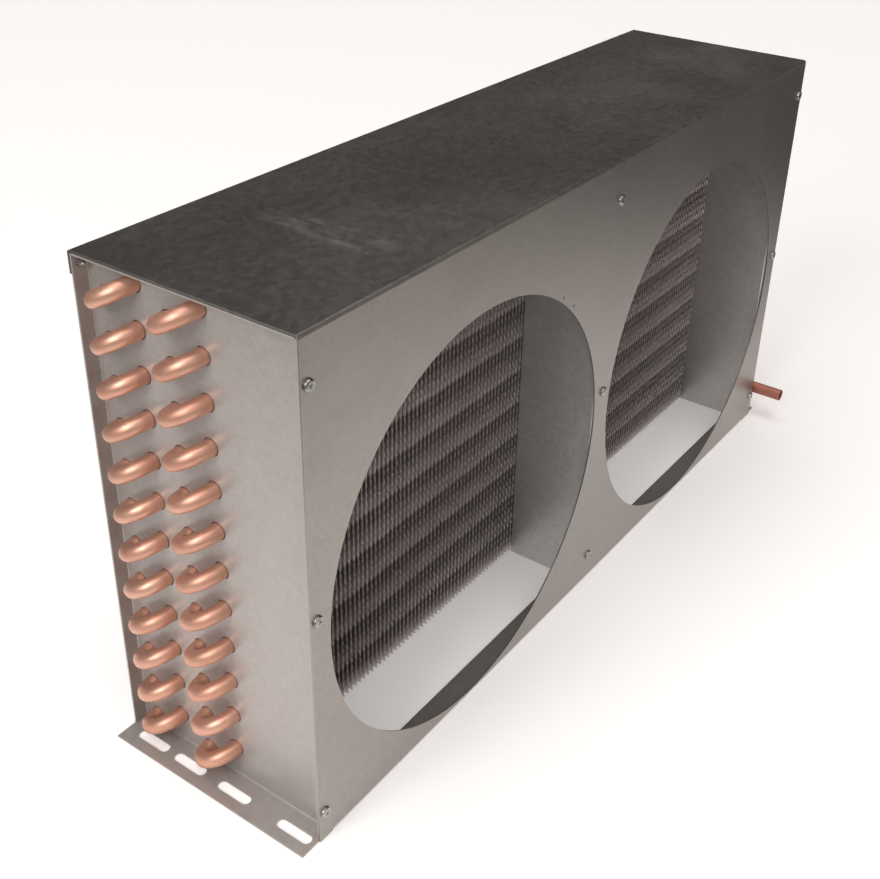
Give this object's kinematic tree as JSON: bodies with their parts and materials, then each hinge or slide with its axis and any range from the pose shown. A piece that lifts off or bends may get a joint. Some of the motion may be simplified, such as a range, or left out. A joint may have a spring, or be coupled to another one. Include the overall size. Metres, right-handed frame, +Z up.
{
  "type": "finned condenser coil",
  "caption": "Finned copper tube condenser coil in a folded sheet casing with round openings for axial fans, a partition between the fan chambers and slotted feet.",
  "frame": {"origin": "middle of the part's box in X and Y, on the plane its feet stand on", "axes": "+X along the fan face from the hairpin end to the connection end, +Y from the fan face to the air inlet side, +Z up"},
  "size_m": [0.6064, 0.1728, 0.312],
  "materials": {
    "cover_sheet": "galvanised sheet, dull",
    "plate_sheet": "galvanised sheet, fine spangle",
    "fin_aluminium": "thin bare aluminium with rippled edges",
    "copper": "drawn copper tube, lightly tarnished",
    "zinc": "zinc plated"
  },
  "bodies": {
    "root": {"cover": "cover_sheet", "left_end_plate": "plate_sheet", "right_end_plate": "plate_sheet", "centre_partition": "plate_sheet", "fin_bank_1": "fin_aluminium", "fin_bank_2": "fin_aluminium", "fin_bank_3": "fin_aluminium", "fin_bank_4": "fin_aluminium", "front_hairpin_01": "copper", "front_hairpin_02": "copper", "front_hairpin_03": "copper", "front_hairpin_04": "copper", "front_hairpin_05": "copper", "front_hairpin_06": "copper", "front_hairpin_07": "copper", "front_hairpin_08": "copper", "front_hairpin_09": "copper", "front_hairpin_10": "copper", "front_hairpin_11": "copper", "front_hairpin_12": "copper", "rear_hairpin_01": "copper", "rear_hairpin_02": "copper", "rear_hairpin_03": "copper", "rear_hairpin_04": "copper", "rear_hairpin_05": "copper", "rear_hairpin_06": "copper", "rear_hairpin_07": "copper", "rear_hairpin_08": "copper", "rear_hairpin_09": "copper", "rear_hairpin_10": "copper", "rear_hairpin_11": "copper", "rear_hairpin_12": "copper", "return_bend_01": "copper", "return_bend_02": "copper", "return_bend_03": "copper", "return_bend_04": "copper", "return_bend_05": "copper", "return_bend_06": "copper", "return_bend_07": "copper", "return_bend_08": "copper", "return_bend_09": "copper", "return_bend_10": "copper", "return_bend_11": "copper", "return_bend_12": "copper", "return_bend_13": "copper", "return_bend_14": "copper", "return_bend_15": "copper", "return_bend_16": "copper", "return_bend_17": "copper", "return_bend_18": "copper", "return_bend_19": "copper", "return_bend_20": "copper", "return_bend_21": "copper", "return_bend_22": "copper", "return_bend_23": "copper", "outlet_tube": "copper", "inlet_tube": "copper", "front_screws": "zinc", "rear_screws": "zinc"}
  },
  "joints": []
}
